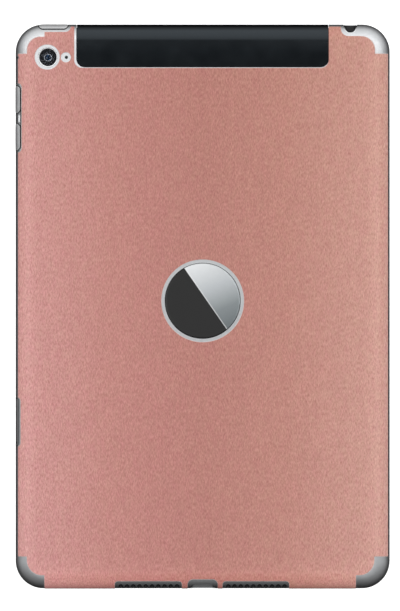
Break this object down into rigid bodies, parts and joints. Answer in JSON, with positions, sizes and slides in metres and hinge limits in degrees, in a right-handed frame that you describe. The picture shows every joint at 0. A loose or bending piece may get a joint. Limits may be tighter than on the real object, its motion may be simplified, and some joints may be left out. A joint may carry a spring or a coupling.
{
  "type": "tablet computer",
  "caption": "Slim tablet computer lying on its glass, with a metal back in a rose film wrap, rear camera, edge buttons, SIM tray and sockets.",
  "frame": {"origin": "centre of the cover glass's outer face, which the tablet lies on", "axes": "+Z out of the back, +Y along the length towards the edge with the headphone jack, +X to the right seen from behind with that edge up"},
  "size_m": [0.1348, 0.2033, 0.0063],
  "materials": {
    "anodised_aluminium": "fine bead-blasted anodised silver",
    "rose_vinyl": "rose pearl vinyl film with a fine vertical brushed figure",
    "black_window": "gloss black",
    "badge_metal": "mirror-polished two-tone",
    "cover_glass": "clear polished, black edge mask behind it",
    "mask_ink": "printed black ink",
    "display": "dark unlit display",
    "white_plastic": "white diffuser",
    "rubber": "black foam gasket",
    "home_face": "gloss black, slightly dished",
    "steel": "fine brushed",
    "camera_glass": "clear black lens cover",
    "black_plastic": "moulded black",
    "circuit_board": "green solder mask",
    "copper_flex": "polyimide film over copper",
    "cell_foil": "black laminated pouch",
    "magnet_nickel": "nickel plated",
    "speaker_mesh": "fine black acoustic mesh",
    "card_plastic": "card with a gold contact side"
  },
  "bodies": {
    "chassis": {"rear_shell": "anodised_aluminium", "vinyl_wrap": "rose_vinyl", "antenna_window": "black_window", "badge_inlay": "badge_metal", "cover_glass": "cover_glass", "bezel_mask": "mask_ink", "glass_gasket": "rubber", "display_panel": "display", "display_backlight": "white_plastic", "home_switch": "steel", "home_flex": "copper_flex", "front_camera": "black_plastic", "rear_camera_ring": "steel", "rear_camera_glass": "camera_glass", "rear_camera_barrel": "black_plastic", "rear_camera_module": "black_plastic", "rear_microphone": "steel", "side_microphone": "steel", "power_switch": "steel", "volume_switches": "steel", "sim_reader": "steel", "headphone_jack": "black_plastic", "charging_port": "steel", "port_bracket": "steel", "loudspeaker_left": "black_plastic", "speaker_mesh_left": "speaker_mesh", "battery_cell_left": "cell_foil", "antenna_left": "copper_flex", "loudspeaker_right": "black_plastic", "speaker_mesh_right": "speaker_mesh", "battery_cell_right": "cell_foil", "antenna_right": "copper_flex", "battery_board": "circuit_board", "battery_tail": "copper_flex", "logic_board": "circuit_board", "processor": "black_plastic", "memory_chip": "black_plastic", "radio_chip": "black_plastic", "board_shield_lower": "steel", "board_shield_middle": "steel", "board_shield_upper": "steel", "display_tail": "copper_flex", "cover_magnet_1": "magnet_nickel", "cover_magnet_2": "magnet_nickel", "cover_magnet_3": "magnet_nickel", "cover_magnet_4": "magnet_nickel", "screw_1": "steel", "screw_2": "steel", "screw_3": "steel", "screw_4": "steel", "screw_5": "steel", "screw_6": "steel"},
    "power_button": {"power_button": "anodised_aluminium"},
    "volume_up_button": {"volume_up_button": "anodised_aluminium"},
    "volume_down_button": {"volume_down_button": "anodised_aluminium"},
    "home_button": {"home_button": "home_face", "home_button_ring": "steel"},
    "sim_tray": {"sim_tray": "anodised_aluminium", "sim_card": "card_plastic"}
  },
  "joints": [
    {"name": "power_button_press", "type": "slide", "parent": "chassis", "child": "power_button", "axis": [0, -1, 0], "range_m": [0, 0.0003], "stiffness_N_per_m": 1500, "springref_m": -0.0003},
    {"name": "volume_up_press", "type": "slide", "parent": "chassis", "child": "volume_up_button", "axis": [1, 0, 0], "range_m": [0, 0.0003], "stiffness_N_per_m": 1500, "springref_m": -0.0003},
    {"name": "volume_down_press", "type": "slide", "parent": "chassis", "child": "volume_down_button", "axis": [1, 0, 0], "range_m": [0, 0.0003], "stiffness_N_per_m": 1500, "springref_m": -0.0003},
    {"name": "home_button_press", "type": "slide", "parent": "chassis", "child": "home_button", "axis": [0, 0, 1], "range_m": [0, 0.00025], "stiffness_N_per_m": 1500, "springref_m": -0.0003},
    {"name": "sim_tray_slide", "type": "slide", "parent": "chassis", "child": "sim_tray", "axis": [-1, 0, 0], "range_m": [0, 0.0175]}
  ]
}
